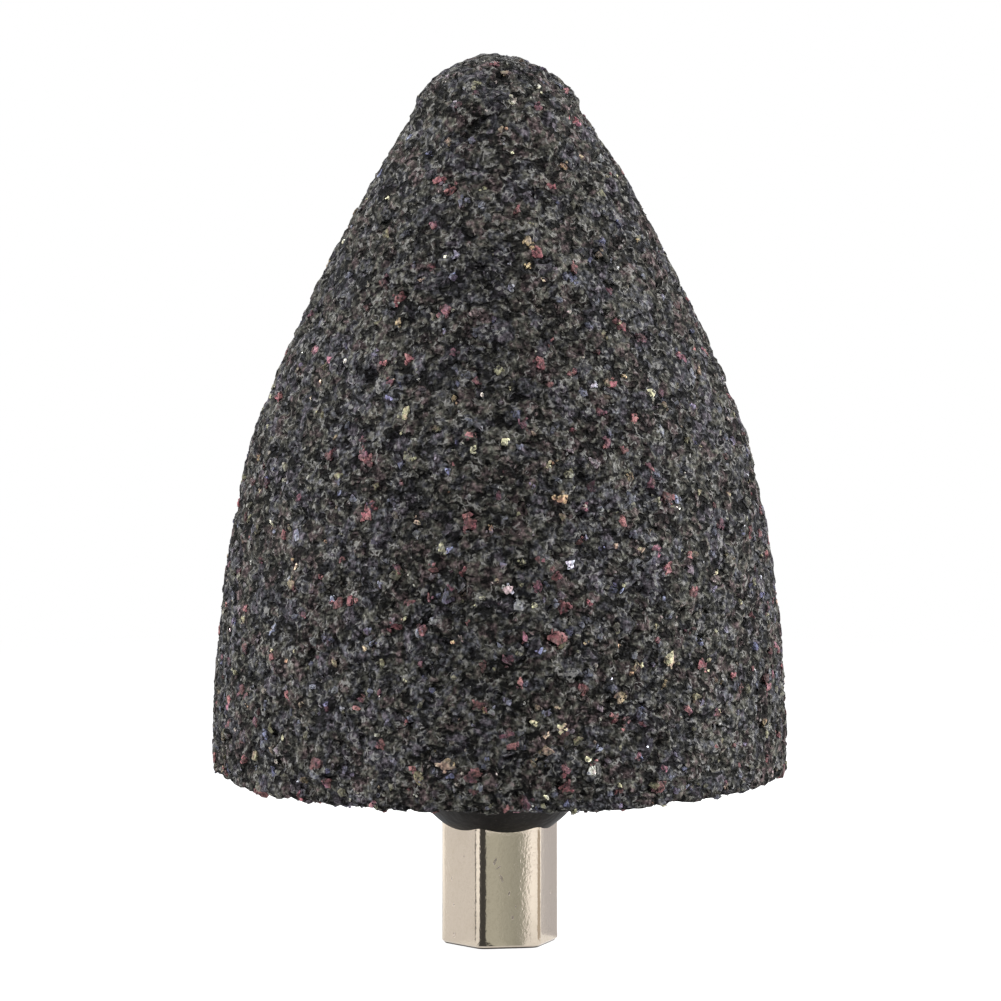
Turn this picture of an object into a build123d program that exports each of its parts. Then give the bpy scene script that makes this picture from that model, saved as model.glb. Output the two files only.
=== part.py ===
"""A conical mounted point: a moulded abrasive cone cemented on a short hexagonal steel shank.

Millimetres. The origin is on the axis at the shank's lower end, and +Z runs towards the tip.
"""

from build123d import *

import math
import os

# Shank, a hexagonal bar with two of its flats facing +Y and -Y
shank_across_flats = 6.35
shank_corner_radius = 0.8
shank_reach = 10.5
shank_embedded = 25.0
shank_end_break = 0.2
shank_lead_in = 0.8

# Keying grooves, turned in the part of the shank that the cement holds
groove_count = 2
groove_pitch = 7.5
groove_width = 1.6
groove_depth = 0.5
first_groove_height = 9.0

# Abrasive cone, with its heights measured from its base or down from its tip
cone_diameter = 35.0
cone_height = 44.1
land_height = 1.0
belly_radius = 82.0
belly_angle = 12.0
bend_radius = 28.0
bend_angle = 10.0
flank_radius = 125.0
flank_angle = 5.0
nose_diameter = 10.3
nose_dome_rise = 2.8
nose_land = 0.6
nose_blend_radius = 0.3
base_edge_break = 0.45

# Cement, which fills the bore around the shank and stands out of its mouth as a bead
cement_gap = 0.45
cement_floor = 1.2
bore_point_angle = 118.0
bead_spread = 1.55
bead_height = 3.6
bead_foot_tuck = 0.2

# Places that follow from the sizes above
flat_radius = shank_across_flats / 2
corner_centre_radius = (flat_radius - shank_corner_radius) / math.cos(math.radians(30))
corner_reach = corner_centre_radius + shank_corner_radius
base_z = shank_reach
shank_top_z = base_z + shank_embedded
tip_z = base_z + cone_height
nose_shoulder_z = tip_z - nose_dome_rise
nose_root_z = nose_shoulder_z - nose_land
bore_radius = corner_reach + cement_gap
bore_shoulder_z = shank_top_z + cement_floor
bore_point_z = bore_shoulder_z + bore_radius / math.tan(math.radians(bore_point_angle / 2))
bead_foot_radius = flat_radius - bead_foot_tuck
bead_rim_radius = bore_radius + bead_spread
bead_centre_rise = (bead_rim_radius**2 - bead_foot_radius**2 - bead_height**2) / (2 * bead_height)

# The shank is one bar: broken edges at its free end, a longer lead-in at the end in the bore
with BuildPart() as hex_shank:
    with BuildSketch(Plane.XY) as bar_section:
        RegularPolygon(flat_radius, 6, major_radius=False)
        fillet(bar_section.vertices(), shank_corner_radius)
    extrude(amount=shank_top_z)
    chamfer(hex_shank.faces().sort_by(Axis.Z)[0].edges(), shank_end_break)
    chamfer(hex_shank.faces().sort_by(Axis.Z)[-1].edges(), shank_lead_in)
    with BuildSketch(Plane.XZ):
        for number in range(groove_count):
            groove_z = base_z + first_groove_height + number * groove_pitch
            with Locations((flat_radius - groove_depth, groove_z)):
                Rectangle(corner_reach, groove_width, align=(Align.MIN, Align.CENTER))
    revolve(axis=Axis.Z, mode=Mode.SUBTRACT)
hex_shank.part.label = "hex_shank"

# The cone's outside is turned from one outline: tangent arcs lead from the land to the domed nose
with BuildPart() as abrasive_cone:
    with BuildSketch(Plane.XZ) as cone_section:
        with BuildLine():
            base = Line((0, base_z), (cone_diameter / 2, base_z))
            land = Line(base @ 1, (cone_diameter / 2, base_z + land_height))
            belly = JernArc(land @ 1, (0, 1), belly_radius, belly_angle)
            bend = JernArc(belly @ 1, belly % 1, bend_radius, bend_angle)
            flank = JernArc(bend @ 1, bend % 1, flank_radius, flank_angle)
            neck = TangentArc(flank @ 1, (nose_diameter / 2, nose_root_z), tangent=flank % 1)
            nose_edge = Line(neck @ 1, (nose_diameter / 2, nose_shoulder_z))
            dome = TangentArc((0, tip_z), nose_edge @ 1, tangent=(1, 0))
            Line(dome @ 0, base @ 0)
        make_face()
        nose_root, nose_shoulder = cone_section.vertices().group_by(Axis.Y)[-3:-1]
        fillet(nose_root + nose_shoulder, min(nose_blend_radius, nose_land / 2))
        base_corners = cone_section.vertices().group_by(Axis.Y)[0]
        chamfer(base_corners.sort_by(Axis.X)[-1], min(base_edge_break, land_height))
    revolve(axis=Axis.Z)
    with BuildSketch(Plane.XZ):
        with BuildLine():
            Polyline(
                (0, base_z),
                (bore_radius, base_z),
                (bore_radius, bore_shoulder_z),
                (0, bore_point_z),
                close=True,
            )
        make_face()
    revolve(axis=Axis.Z, mode=Mode.SUBTRACT)
abrasive_cone.part.label = "abrasive_cone"

# The cement takes the bore's form outside and the shank's inside, and its bead is part of a ball
with BuildPart() as bond_collar:
    with BuildSketch(Plane.XZ):
        with BuildLine():
            fill = Polyline(
                (bead_foot_radius, base_z - bead_height),
                (0, base_z - bead_height),
                (0, bore_point_z),
                (bore_radius, bore_shoulder_z),
                (bore_radius, base_z),
                (bead_rim_radius, base_z),
            )
            RadiusArc(fill @ 1, fill @ 0, math.hypot(bead_rim_radius, bead_centre_rise))
        make_face()
    revolve(axis=Axis.Z)
    add(hex_shank.part, mode=Mode.SUBTRACT)
bond_collar.part.label = "bond_collar"

os.makedirs("parts", exist_ok=True)
export_step(hex_shank.part, "parts/hex_shank.step")
export_step(abrasive_cone.part, "parts/abrasive_cone.step")
export_step(bond_collar.part, "parts/bond_collar.step")
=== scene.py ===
"""Looks of a conical mounted point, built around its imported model.

The rough abrasive cone is a relief skin with loose-looking grains bedded in it, the cement bead and
the plated hexagonal shank are turned forms with their own small faults. Lengths are millimetres in
the classes below and become metres when a mesh is made. The axis is Z and the shank's end is at 0.
"""

import logging
import math
from dataclasses import dataclass, field
from enum import Enum
from typing import Optional, Sequence, Union

import bmesh
import bpy
import numpy as np
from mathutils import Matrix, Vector, noise
from mathutils.kdtree import KDTree

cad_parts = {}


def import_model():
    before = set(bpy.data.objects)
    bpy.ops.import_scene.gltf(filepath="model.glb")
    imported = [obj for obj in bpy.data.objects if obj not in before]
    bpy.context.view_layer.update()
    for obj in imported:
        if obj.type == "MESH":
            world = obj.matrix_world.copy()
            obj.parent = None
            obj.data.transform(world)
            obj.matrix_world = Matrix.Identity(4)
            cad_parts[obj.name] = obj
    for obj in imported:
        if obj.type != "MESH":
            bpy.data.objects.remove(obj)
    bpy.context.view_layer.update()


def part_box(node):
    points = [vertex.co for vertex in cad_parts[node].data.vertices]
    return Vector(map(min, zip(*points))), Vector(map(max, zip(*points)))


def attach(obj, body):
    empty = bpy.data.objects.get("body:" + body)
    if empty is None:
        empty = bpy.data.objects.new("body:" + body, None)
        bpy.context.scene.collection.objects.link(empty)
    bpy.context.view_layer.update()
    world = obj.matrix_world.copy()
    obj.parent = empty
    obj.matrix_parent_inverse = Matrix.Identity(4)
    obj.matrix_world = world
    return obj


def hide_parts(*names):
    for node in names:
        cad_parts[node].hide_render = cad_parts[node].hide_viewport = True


MM = 0.001
TAU = 2 * math.pi
TINY = 1e-6
FULL_WHITE = (1.0, 1.0, 1.0)
HALFWAY_IN = (0.5, 0.5, 1.0)
NOISE_ROUGHNESS = 0.6

CONE_DIAMETER = 35.0
CEMENT_GAP = 0.45
CEMENT_FLOOR = 1.2

Colour = tuple[float, float, float]
Array = np.ndarray

log = logging.getLogger("mounted_point")


class Slot(Enum):
    """The names of three material slots."""

    ABRASIVE = "abrasive"
    CEMENT = "cement"
    STEEL = "plated_steel"


# Shader building


class Socket:
    """An output socket of a node, which adds Math nodes when it is used in an expression."""

    def __init__(self, nodes: "NodeBook", output: bpy.types.NodeSocket) -> None:
        """Wraps one output.

        Args:
            nodes: the tree that the socket is in.
            output: the socket itself.
        """
        self.nodes = nodes
        self.output = output

    def _math(self, operation: str, first: "Feed", second: "Feed") -> "Socket":
        """Adds one Math node.

        Args:
            operation: the Math node's operation.
            first: its first value or link.
            second: its second value or link.

        Returns:
            The node's result.
        """
        return self.nodes.node("ShaderNodeMath", {"operation": operation}, {0: first, 1: second})

    def __add__(self, other: "Feed") -> "Socket":
        """This value plus another."""
        return self._math("ADD", self, other)

    def __radd__(self, other: "Feed") -> "Socket":
        """Another value plus this."""
        return self._math("ADD", other, self)

    def __sub__(self, other: "Feed") -> "Socket":
        """This value less another."""
        return self._math("SUBTRACT", self, other)

    def __rsub__(self, other: "Feed") -> "Socket":
        """Another value less this."""
        return self._math("SUBTRACT", other, self)

    def __mul__(self, other: "Feed") -> "Socket":
        """This value times another."""
        return self._math("MULTIPLY", self, other)

    def above(self, limit: float, softness: float) -> "Socket":
        """A mask that rises from 0 to 1 past a limit.

        Args:
            limit: where the mask starts.
            softness: how far past the limit it reaches 1.

        Returns:
            The mask.
        """
        settings = {"interpolation_type": "SMOOTHSTEP"}
        sides = {"Value": self, "From Min": limit, "From Max": limit + softness}
        return self.nodes.node("ShaderNodeMapRange", settings, sides)


Feed = Union[Socket, float, Sequence[float]]


class NodeBook:
    """The node tree of one material or world, written from empty."""

    def __init__(self, owner: Union[bpy.types.Material, bpy.types.World]) -> None:
        """Empties the owner's tree.

        Args:
            owner: the material or world that is written.
        """
        owner.use_nodes = True
        self.tree = owner.node_tree
        self.tree.nodes.clear()

    def node(
        self,
        kind: str,
        settings: Optional[dict] = None,
        inputs: Optional[dict] = None,
        output: Union[int, str] = 0,
    ) -> Socket:
        """Adds one node of any type.

        Args:
            kind: the node's type.
            settings: its properties, and under "stops" a ramp's places and colours.
            inputs: values or links by socket name or number.
            output: which of its outputs is wanted.

        Returns:
            The wanted output.
        """
        made = self.tree.nodes.new(kind)
        for name, value in (settings or {}).items():
            if name == "stops":
                self._fill_ramp(made.color_ramp, value)
            else:
                setattr(made, name, value)
        for name, value in (inputs or {}).items():
            if isinstance(value, Socket):
                self.tree.links.new(value.output, made.inputs[name])
            else:
                self._set(made.inputs[name], value)
        return Socket(self, made.outputs[output]) if len(made.outputs) else Socket(self, None)

    @staticmethod
    def _set(socket: bpy.types.NodeSocket, value: Union[float, Sequence[float]]) -> None:
        """Gives a socket a constant, with an alpha of 1 where a colour needs one.

        Args:
            socket: the input socket of a new node.
            value: its constant.
        """
        if socket.type == "RGBA" and len(value) == 3:
            value = (*value, 1.0)
        socket.default_value = value

    @staticmethod
    def _fill_ramp(ramp: bpy.types.ColorRamp, stops: Sequence[tuple[float, Colour]]) -> None:
        """Gives a ramp its stops.

        Args:
            ramp: the ramp of a new node.
            stops: each stop's place and colour.
        """
        while len(ramp.elements) < len(stops):
            ramp.elements.new(1.0)
        for element, (place, colour) in zip(ramp.elements, stops):
            element.position = place
            element.color = (*colour, 1.0)

    def vector(self, operation: str, *values: Feed, output: str = "Vector") -> Socket:
        """Adds one Vector Math node.

        Args:
            operation: the node's operation.
            values: its values or links, in order.
            output: which of its outputs is wanted.

        Returns:
            The wanted output.
        """
        settings = {"operation": operation}
        return self.node("ShaderNodeVectorMath", settings, dict(enumerate(values)), output)

    def place(self) -> Socket:
        """The surface's own place on the object, in millimetres."""
        metres = self.node("ShaderNodeTexCoord", output="Object")
        return self.vector("MULTIPLY", metres, (1 / MM, 1 / MM, 1 / MM))

    def stored(self, name: str) -> Socket:
        """The number that a piece stores under a name."""
        return self.node("ShaderNodeAttribute", {"attribute_name": name}, output="Fac")

    def noise(self, place: Socket, size: float, detail: float = 2.0) -> Socket:
        """Soft noise around a half.

        Args:
            place: where, in millimetres.
            size: the width of its largest features, in millimetres.
            detail: how many finer layers it has.

        Returns:
            The noise's value.
        """
        inputs = {"Vector": place, "Scale": 1 / size, "Detail": detail}
        inputs["Roughness"] = NOISE_ROUGHNESS
        return self.node("ShaderNodeTexNoise", {"noise_dimensions": "3D"}, inputs)

    def cells(self, place: Socket, size: float, output: str = "Distance") -> Socket:
        """A field of irregular cells.

        Args:
            place: where, in millimetres.
            size: the cells' width, in millimetres.
            output: the distance to a cell's centre, or the cell's own random colour.

        Returns:
            The wanted output.
        """
        return self.node(
            "ShaderNodeTexVoronoi", {}, {"Vector": place, "Scale": 1 / size}, output
        )

    def stretch(self, place: Socket, scale: Sequence[float]) -> Socket:
        """A place with each axis scaled."""
        return self.vector("MULTIPLY", place, scale)

    def mix(self, factor: Feed, first: Feed, second: Feed, blend: str = "MIX") -> Socket:
        """A mix of two colours.

        Args:
            factor: 0 for the first, 1 for the second.
            first: the first colour.
            second: the second colour.
            blend: how the second is laid on.

        Returns:
            The mixed colour.
        """
        settings = {"data_type": "RGBA", "blend_type": blend, "clamp_result": True}
        return self.node("ShaderNodeMix", settings, {0: factor, 6: first, 7: second}, output=2)

    def ramp(self, value: Socket, stops: Sequence[tuple[float, Colour]]) -> Socket:
        """A colour ramp over a value."""
        return self.node("ShaderNodeValToRGB", {"stops": stops}, {"Fac": value})

    def bump(self, height: Socket, depth: float, under: Optional[Socket] = None) -> Socket:
        """A bump from a height field.

        Args:
            height: the field, from 0 to 1.
            depth: how deep it is, in millimetres.
            under: another bump that this one lies on.

        Returns:
            The bent normal.
        """
        inputs = {"Height": height, "Strength": 1.0, "Distance": depth * MM}
        if under is not None:
            inputs["Normal"] = under
        return self.node("ShaderNodeBump", {}, inputs)

    def surface(self, shader: Socket) -> None:
        """Joins a shader to the output."""
        kind = "World" if self.tree.nodes.id_data.id_type == "WORLD" else "Material"
        self.node(f"ShaderNodeOutput{kind}", {}, {"Surface": shader})


# Finishes


def grey(level: float) -> Colour:
    """A neutral colour of one level."""
    return (level, level, level)


def even_stops(colours: Sequence[Colour]) -> list[tuple[float, Colour]]:
    """A ramp's stops for colours at even steps from 0 to 1."""
    return list(zip(np.linspace(0.0, 1.0, len(colours)).tolist(), colours))


@dataclass(frozen=True)
class ClumpTints:
    """The faint casts that clumps of the abrasive have, laid on by a share stored in each piece."""

    share_name: str = "tint"
    fleck_size: float = 0.55
    fleck_share: float = 1.8
    casts: tuple[Colour, ...] = (
        (1.0, 0.76, 0.78), (1.0, 0.90, 0.81), (0.98, 1.0, 0.84), (1.0, 0.98, 0.95),
        (0.84, 0.88, 1.0), (0.95, 0.85, 1.0),
    )

    def over(self, book: NodeBook, place: Socket, colour: Socket) -> Socket:
        """Lays the casts over a colour.

        Args:
            book: the tree that it is done in.
            place: the surface's place, in millimetres.
            colour: the colour without them.

        Returns:
            The colour with them.
        """
        flecks = (book.noise(place, self.fleck_size) - 0.5) * self.fleck_share
        cast = book.ramp(book.stored(self.share_name) + flecks, even_stops(self.casts))
        return book.mix(1.0, colour, cast, "MULTIPLY")


@dataclass(frozen=True)
class Crumble:
    """Winding cracks darkened with painted shade and short crests lightened with painted
    highlights, which run on through the bond and the grains alike.

    Each follows the places where a noise is near a half, within a width given in the noise's own
    values, and shows only where a second noise, of its break's size, is past its start.
    """

    crack_size: float = 1.5
    crack_detail: float = 2.2
    crack_width: float = 0.062
    crack_flatness: float = 1.5
    crack_break: float = 0.9
    crack_start: float = 0.45
    crack_fade: float = 0.08
    crest_size: float = 0.5
    crest_width: float = 0.08
    crest_break: float = 0.6
    crest_start: float = 0.52
    crest_fade: float = 0.1
    # Painted shade in the cracks and painted highlights on the crests.
    crack_shade_colour: Colour = (0.0017, 0.0017, 0.0017)
    crest_colour: Colour = (0.112, 0.110, 0.105)
    crack_shade_share: float = 0.92
    crest_highlight_share: float = 0.5
    swell_size: float = 1.0
    swell_depth: float = 0.3

    def swells(self, book: NodeBook, place: Socket) -> Socket:
        """The normal over the swells between the cracks.

        Args:
            book: the tree that it is made in.
            place: the surface's place, in millimetres.

        Returns:
            The bent normal.
        """
        lying = book.stretch(place, (1.0, 1.0, self.crack_flatness))
        return book.bump(book.noise(lying, self.swell_size), self.swell_depth)

    @staticmethod
    def _line(course: Socket, width: float) -> Socket:
        """A line along the places where a noise is near a half."""
        away = course - 0.5
        return 1 - (away * away).above(0.0, width**2)

    def cracks(self, book: NodeBook, place: Socket) -> Socket:
        """Draws the cracks, wider than high.

        Args:
            book: the tree that they are drawn in.
            place: the surface's place, in millimetres.

        Returns:
            1 in a crack and 0 outside.
        """
        lying = book.stretch(place, (1.0, 1.0, self.crack_flatness))
        line = self._line(book.noise(lying, self.crack_size, self.crack_detail), self.crack_width)
        shown = book.noise(place, self.crack_break, 1.0)
        return line * shown.above(self.crack_start, self.crack_fade)

    def over(self, book: NodeBook, colour: Socket, cracks: Socket, crests: Socket) -> Socket:
        """Lays both over a colour as painted highlights and painted shade, the cracks last.

        Args:
            book: the tree that it is done in.
            colour: the colour without them.
            cracks: where the cracks are.
            crests: where the crests are.

        Returns:
            The colour with them.
        """
        colour = book.mix(crests * self.crest_highlight_share, colour, self.crest_colour)
        return book.mix(cracks * self.crack_shade_share, colour, self.crack_shade_colour)

    def crests(self, book: NodeBook, place: Socket) -> Socket:
        """Draws the crests.

        Args:
            book: the tree that they are drawn in.
            place: the surface's place, in millimetres.

        Returns:
            1 on a crest and 0 beside it.
        """
        line = self._line(book.noise(place, self.crest_size, 1.0), self.crest_width)
        aside = book.stretch(place, (-1.0, 1.0, 1.0))
        shown = book.noise(aside, self.crest_break, 1.0)
        return line * shown.above(self.crest_start, self.crest_fade)


@dataclass(frozen=True)
class BondFinish:
    """The dark vitreous bond between the grains: near black, dull and full of fine pores."""

    name: str = "abrasive_bond"
    pit_colour: Colour = (0.004, 0.004, 0.0042)
    body_colour: Colour = (0.0190, 0.0188, 0.0187)
    crest_colour: Colour = (0.055, 0.0543, 0.0535)
    colour_places: tuple[float, float, float] = (0.34, 0.52, 0.72)
    mottle_size: float = 0.3
    crumb_size: float = 0.24
    crumb_depth: float = 0.14
    crumb_share: float = 0.8
    fine_size: float = 0.12
    fine_share: float = 0.3
    crest_height: float = 0.4
    roughness: float = 0.5
    roughness_spread: float = 0.4
    gloss: float = 0.02
    tone_name: str = "tone"
    tone_share: float = 0.3
    tints: ClumpTints = ClumpTints()
    crumble: Crumble = Crumble()

    def material(self) -> bpy.types.Material:
        """Writes the material.

        Returns:
            The new material.
        """
        made = bpy.data.materials.new(self.name)
        book = NodeBook(made)
        place = book.place()
        # The stored tone also carries the painted shade of the clumps' seams.
        tone = (book.stored(self.tone_name) - 0.5) * self.tone_share
        mottle = book.noise(place, self.mottle_size, 1.0) + tone
        colours = (self.pit_colour, self.body_colour, self.crest_colour)
        stops = list(zip(self.colour_places, colours))
        crumbs = 1 - book.cells(place, self.crumb_size)
        fine = book.noise(place, self.fine_size, 0.0)
        cracks, crests = self.crumble.cracks(book, place), self.crumble.crests(book, place)
        colour = self.tints.over(book, place, book.ramp(mottle, stops))
        # Painted highlights on the crests and painted shade in the cracks.
        colour = self.crumble.over(book, colour, cracks, crests)
        height = crumbs * self.crumb_share + fine * self.fine_share
        height = height + crests * self.crest_height - cracks
        shader = book.node(
            "ShaderNodeBsdfPrincipled", {},
            {
                "Base Color": colour,
                "Roughness": self.roughness + mottle * self.roughness_spread,
                "Specular IOR Level": self.gloss,
                "Normal": book.bump(
                    height, self.crumb_depth, under=self.crumble.swells(book, place)
                ),
            },
        )
        book.surface(shader)
        return made


@dataclass(frozen=True)
class GrainFinish:
    """One kind of grain, whose colours run over the grains' own tone from dark to pale."""

    name: str
    colours: tuple[Colour, ...]
    speck_size: float = 0.19
    speck_detail: float = 0.8
    speck_spread: float = 0.74
    # The pits' colour and its share are painted shade in the pits, which the bump also sinks.
    pit_colour: Colour = (0.006, 0.0055, 0.0055)
    pit_size: float = 0.2
    pit_flatness: float = 0.7
    pit_start: float = 0.535
    pit_fade: float = 0.12
    pit_share: float = 0.9
    pit_depth: float = 0.5
    crest_height: float = 0.5
    tints: ClumpTints = ClumpTints()
    crumble: Crumble = Crumble(crest_highlight_share=0.3, crack_shade_share=0.85)
    gloss: float = 0.055
    roughness: float = 0.42
    roughness_spread: float = 0.3
    face_depth: float = 0.05
    tone_name: str = "tone"

    def material(self) -> bpy.types.Material:
        """Writes the material.

        Returns:
            The new material.
        """
        made = bpy.data.materials.new(self.name)
        book = NodeBook(made)
        place = book.place()
        specks = book.noise(place, self.speck_size, self.speck_detail)
        tone = book.stored(self.tone_name) + (specks - 0.5) * self.speck_spread
        colour = self.tints.over(book, place, book.ramp(tone, even_stops(self.colours)))
        standing = book.stretch(place, (1.0, 1.0, self.pit_flatness))
        pits = book.noise(standing, self.pit_size, 1.0).above(self.pit_start, self.pit_fade)
        # Painted shade in the pits.
        colour = book.mix(pits * self.pit_share, colour, self.pit_colour)
        cracks, crests = self.crumble.cracks(book, place), self.crumble.crests(book, place)
        # Painted highlights on the crests and painted shade in the cracks.
        colour = self.crumble.over(book, colour, cracks, crests)
        height = specks - pits * self.pit_depth + crests * self.crest_height - cracks
        shader = book.node(
            "ShaderNodeBsdfPrincipled", {},
            {
                "Base Color": colour,
                "Roughness": self.roughness + specks * self.roughness_spread,
                "Specular IOR Level": self.gloss,
                "Normal": book.bump(
                    height, self.face_depth, under=self.crumble.swells(book, place)
                ),
            },
        )
        book.surface(shader)
        return made


@dataclass(frozen=True)
class CementFinish:
    """Black cement with a satin skin, a little dust and faint brush-like waves."""

    name: str = "black_cement"
    body_colour: Colour = (0.0055, 0.0048, 0.0044)
    dust_colour: Colour = (0.030, 0.0275, 0.025)
    dust_detail: float = 4.0
    dust_start: float = 0.54
    dust_fade: float = 0.2
    dust_share: float = 0.6
    wave_size: float = 1.4
    wave_depth: float = 0.12
    grit_size: float = 0.16
    grit_depth: float = 0.012
    gloss: float = 0.07
    roughness: float = 0.34
    wave_roughness: float = 0.2
    dust_roughness: float = 0.15

    def material(self) -> bpy.types.Material:
        """Writes the material.

        Returns:
            The new material.
        """
        made = bpy.data.materials.new(self.name)
        book = NodeBook(made)
        place = book.place()
        dust = book.noise(place, self.grit_size, self.dust_detail)
        dust = dust.above(self.dust_start, self.dust_fade)
        waves = book.noise(place, self.wave_size)
        grit = book.noise(place, self.grit_size)
        swell = book.bump(waves, self.wave_depth)
        rough = self.roughness + waves * self.wave_roughness + dust * self.dust_roughness
        shader = book.node(
            "ShaderNodeBsdfPrincipled", {},
            {
                "Base Color": book.mix(dust * self.dust_share, self.body_colour, self.dust_colour),
                "Specular IOR Level": self.gloss,
                "Roughness": rough,
                "Normal": book.bump(grit, self.grit_depth, under=swell),
            },
        )
        book.surface(shader)
        return made


@dataclass(frozen=True)
class Mark:
    """One scratch or pit in the plating, on the flat that faces an angle in degrees."""

    facing: float
    across: float
    height: float
    length: float
    width: float
    lean: float = 0.0
    edge_start: float = 0.5
    edge_fade: float = 0.6

    def mask(self, book: NodeBook, place: Socket, fray: Socket, flat_radius: float) -> Socket:
        """Draws the mark.

        Args:
            book: the tree that it is drawn in.
            place: the surface's place, in millimetres.
            fray: a noise around 0 that frays its edge.
            flat_radius: the flat's distance from the axis.

        Returns:
            1 in the mark and 0 outside it.
        """
        turn, lean = math.radians(self.facing), math.radians(self.lean)
        out = Vector((math.cos(turn), math.sin(turn), 0.0))
        side = Vector((-math.sin(turn), math.cos(turn), 0.0))
        up = Vector((0.0, 0.0, 1.0))
        middle = out * flat_radius + side * self.across + up * self.height
        along = (up * math.cos(lean) + side * math.sin(lean)) * (2 / self.length)
        over = (side * math.cos(lean) - up * math.sin(lean)) * (2 / self.width)
        away = book.vector("SUBTRACT", place, middle)
        parts = [
            book.vector("DOT_PRODUCT", away, axis, output="Value") for axis in (along, over, out)
        ]
        far = sum(part * part for part in parts)
        return 1 - (far + fray).above(self.edge_start, self.edge_fade)


@dataclass(frozen=True)
class PlatedFinish:
    """Dull plated steel: warm grey, drawn along the bar, with small pits, scratches and stains, and
    with painted shadow as a broken dark band at its free end.
    """

    name: str = "plated_steel"
    metal_colour: Colour = (0.585, 0.51, 0.422)
    stain_colour: Colour = (0.50, 0.43, 0.34)
    stain_size: float = 1.8
    stain_detail: float = 4.0
    stain_start: float = 0.5
    stain_fade: float = 0.3
    stain_share: float = 0.5
    stain_depth: float = 0.02
    stain_roughness: float = 0.12
    peel_size: float = 0.13
    peel_flatness: float = 0.8
    peel_start: float = 0.45
    peel_share: float = 0.3
    peel_depth: float = 0.012
    pit_colour: Colour = (0.10, 0.08, 0.065)
    pit_fray: float = 3.0
    pit_share: float = 0.8
    pit_depth: float = 0.002
    pit_dullness: float = 0.6
    # The next four give the painted shadow at the free end, where the bar stands on the floor: a
    # broken dark band.
    end_shadow_colour: Colour = (0.05, 0.042, 0.036)
    end_shadow_height: float = 0.08
    end_shadow_start: float = 0.33
    end_shadow_fade: float = 0.06
    pit_and_end_shadow_roughness: float = 0.3
    roughness: float = 0.1
    marks: tuple[Mark, ...] = (
        Mark(-90.0, -0.87, 5.40, 0.50, 0.16, 14.0),
        Mark(-90.0, -0.66, 5.02, 0.34, 0.12, 60.0),
        Mark(-90.0, -0.48, 4.40, 0.62, 0.15, -24.0),
        Mark(-90.0, 0.02, 3.40, 0.30, 0.13, 20.0),
        Mark(-90.0, 0.23, 1.93, 0.24, 0.14, 0.0),
        Mark(-90.0, 0.42, 2.60, 0.16, 0.10, 0.0),
        Mark(-150.0, -0.72, 4.09, 0.26, 0.20, 0.0),
        Mark(-150.0, -0.57, 2.51, 0.24, 0.18, 0.0),
        Mark(-150.0, -0.50, 0.66, 0.34, 0.30, 0.0),
        Mark(-150.0, 0.40, 5.60, 0.14, 0.12, 0.0),
        Mark(-30.0, 0.30, 3.10, 0.30, 0.12, 10.0),
        Mark(30.0, 0.60, 4.20, 0.42, 0.12, -30.0),
        Mark(90.0, -0.50, 2.70, 0.60, 0.12, 24.0),
        Mark(150.0, 0.20, 3.90, 0.22, 0.18, 0.0),
    )
    draw_width: float = 0.07
    draw_length: float = 6.0
    draw_depth: float = 0.002

    def material(self, flat_radius: float) -> bpy.types.Material:
        """Writes the material.

        Args:
            flat_radius: the flats' distance from the axis.

        Returns:
            The new material.
        """
        made = bpy.data.materials.new(self.name)
        book = NodeBook(made)
        place = book.place()
        stains = book.noise(place, self.stain_size, self.stain_detail)
        drawn = book.stretch(place, (1.0, 1.0, self.draw_width / self.draw_length))
        lines = book.noise(drawn, self.draw_width)
        peel = book.stretch(place, (1.0, 1.0, self.peel_flatness))
        peel = book.noise(peel, self.peel_size, 1.0)
        fray = (peel - 0.5) * self.pit_fray
        pits = sum(mark.mask(book, place, fray, flat_radius) for mark in self.marks)
        stained = stains.above(self.stain_start, self.stain_fade) * self.stain_share
        stained = stained + peel.above(self.peel_start, self.stain_fade) * self.peel_share
        # Painted shadow: a broken dark band at the free end, which is also made rougher.
        up = book.node("ShaderNodeSeparateXYZ", {}, {0: place}, "Z")
        end_shadow = 1 - up.above(self.end_shadow_height, self.end_shadow_height / 2)
        end_shadow = end_shadow * stains.above(self.end_shadow_start, self.end_shadow_fade)
        colour = book.mix(stained, self.metal_colour, self.stain_colour)
        colour = book.mix(pits * self.pit_share, colour, self.pit_colour)
        colour = book.mix(end_shadow, colour, self.end_shadow_colour)
        rough = self.roughness + stains * self.stain_roughness
        rough = rough + (pits + end_shadow) * self.pit_and_end_shadow_roughness
        normal = book.bump(lines, self.draw_depth)
        normal = book.bump(peel, self.peel_depth, under=normal)
        normal = book.bump(1 - pits, self.pit_depth, under=normal)
        normal = book.bump(stains, self.stain_depth, under=normal)
        shader = book.node(
            "ShaderNodeBsdfPrincipled", {},
            {
                "Base Color": colour, "Metallic": 1 - pits * self.pit_dullness,
                "Roughness": rough, "Normal": normal,
            },
        )
        book.surface(shader)
        return made


# Mesh helpers


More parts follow.
